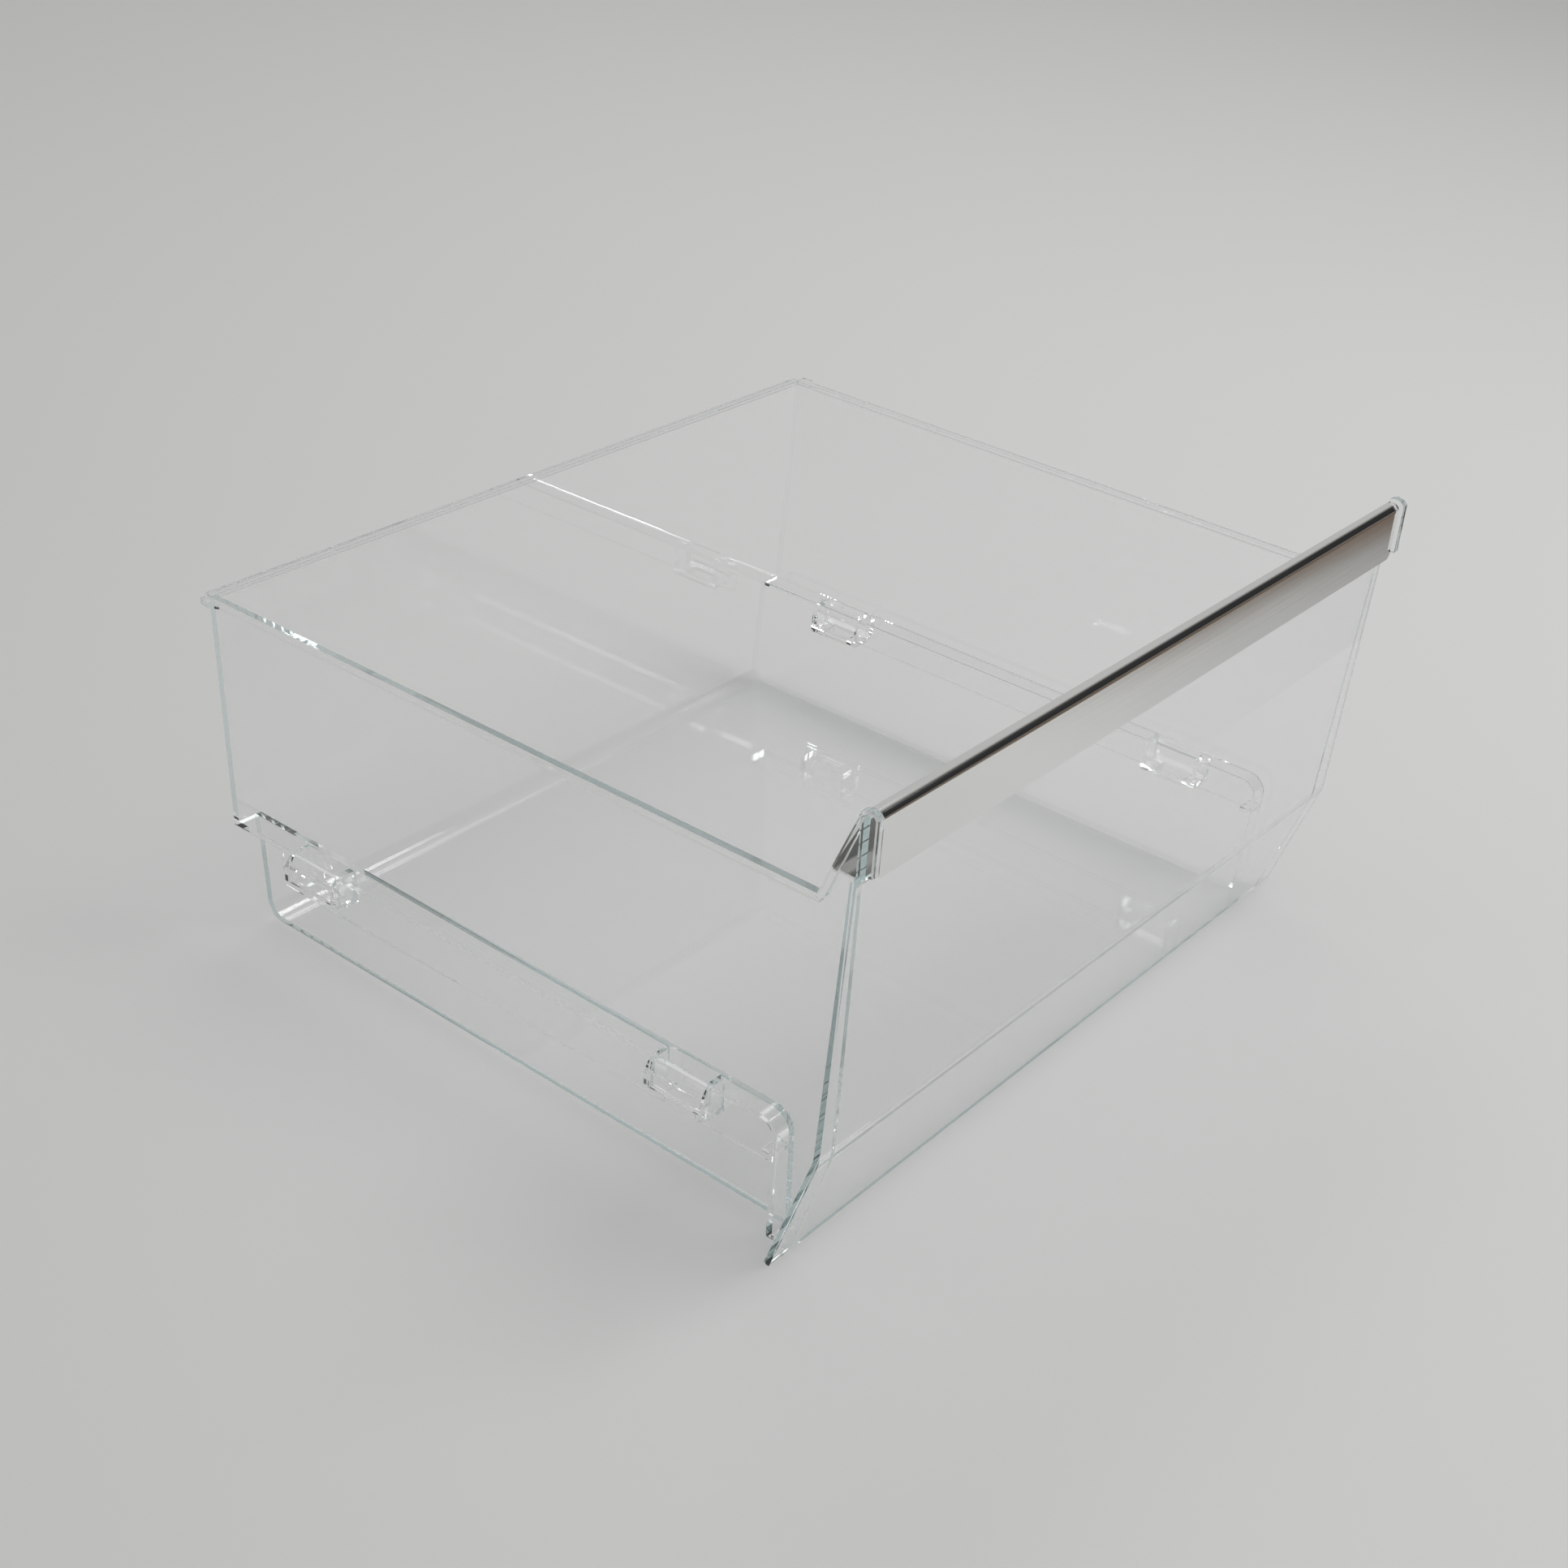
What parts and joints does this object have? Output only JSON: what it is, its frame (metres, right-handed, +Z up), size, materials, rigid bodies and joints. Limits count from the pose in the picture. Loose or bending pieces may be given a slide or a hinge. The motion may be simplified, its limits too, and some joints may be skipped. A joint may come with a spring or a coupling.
{
  "type": "fridge drawer",
  "caption": "Clear moulded fridge drawer with stepped rail recesses along both sides and a raised front edge that carries a polished metal handle trim.",
  "frame": {"origin": "middle of the footprint, on the plane of the drawer's underside", "axes": "+X along the drawer's width, the front panel and handle face -Y, +Z up"},
  "size_m": [0.4524, 0.396, 0.241],
  "materials": {
    "clear_plastic": "clear, polished, faint teal tint at the edges",
    "metal_trim": "polished"
  },
  "bodies": {
    "root": {"drawer_body": "clear_plastic", "handle_trim": "metal_trim"}
  },
  "joints": []
}
